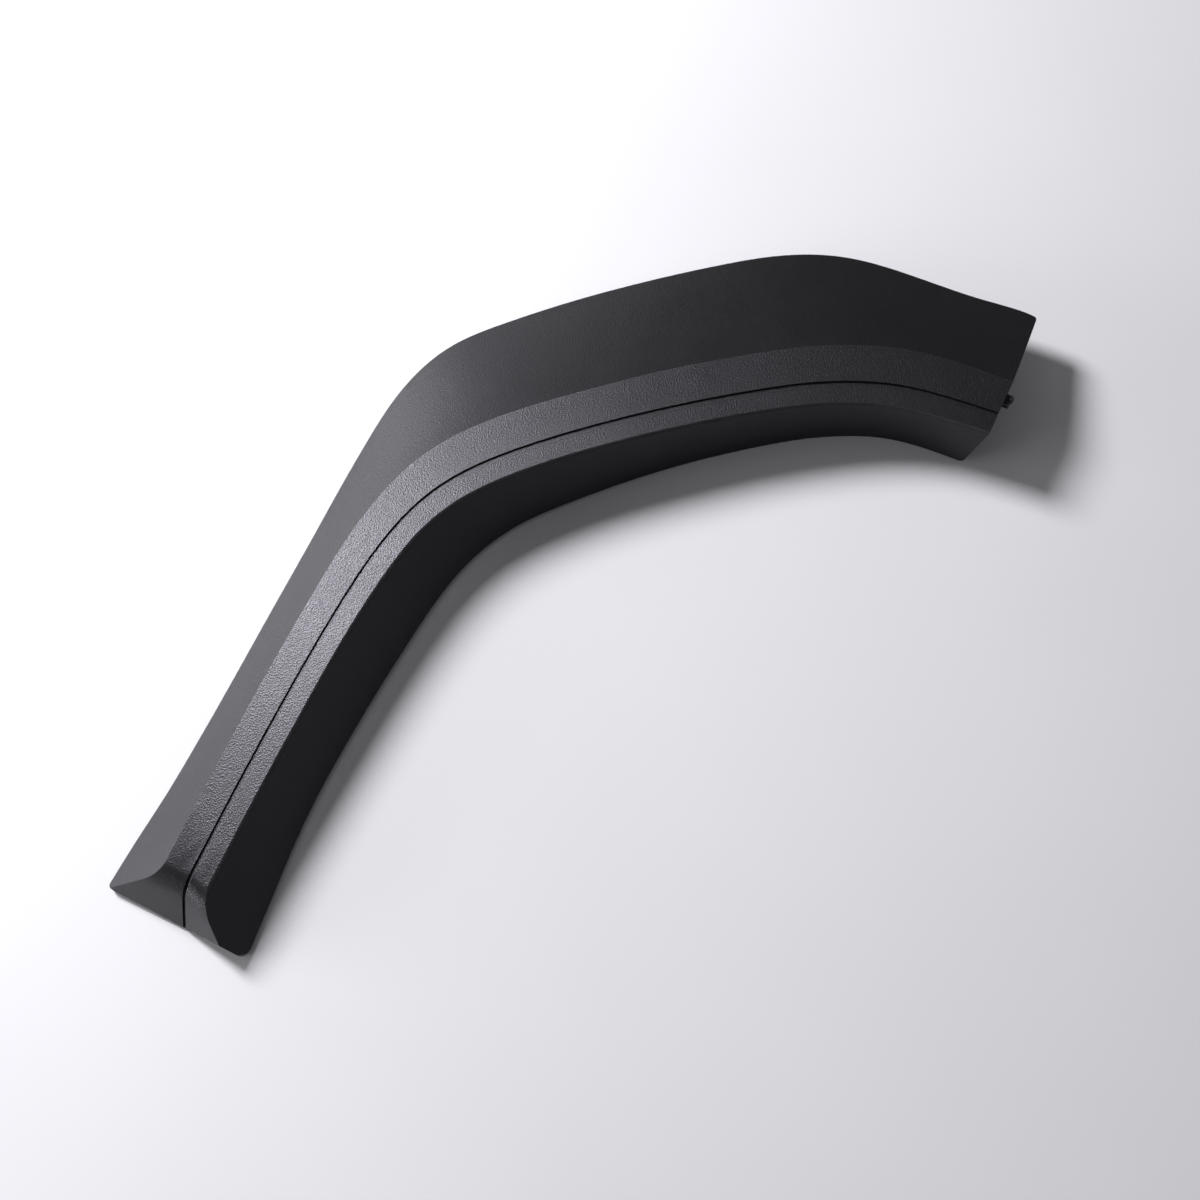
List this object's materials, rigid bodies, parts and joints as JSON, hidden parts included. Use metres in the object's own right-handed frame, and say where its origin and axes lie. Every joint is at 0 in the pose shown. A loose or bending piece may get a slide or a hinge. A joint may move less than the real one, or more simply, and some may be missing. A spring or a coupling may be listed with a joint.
{
  "type": "wheel arch trim",
  "caption": "Moulded open-backed wheel arch trim with a sloped face, a crisp crease, a grooved band, a closed foot and an open joint end, held to the body by push-in clips.",
  "frame": {"origin": "below the middle of the trim, on the plane it lies on", "axes": "+X along the top of the arch towards the open joint end, +Y away from the wheel, +Z outwards from the vehicle's side"},
  "size_m": [0.7718, 0.4384, 0.0493],
  "materials": {
    "arch_shell": "fine moulded grain on the visible faces, smooth on the wall towards the wheel",
    "body_clips": "plain moulded",
    "end_clip": "plain moulded"
  },
  "bodies": {
    "root": {"arch_shell": "arch_shell", "body_clips": "body_clips", "end_clip": "end_clip"}
  },
  "joints": []
}
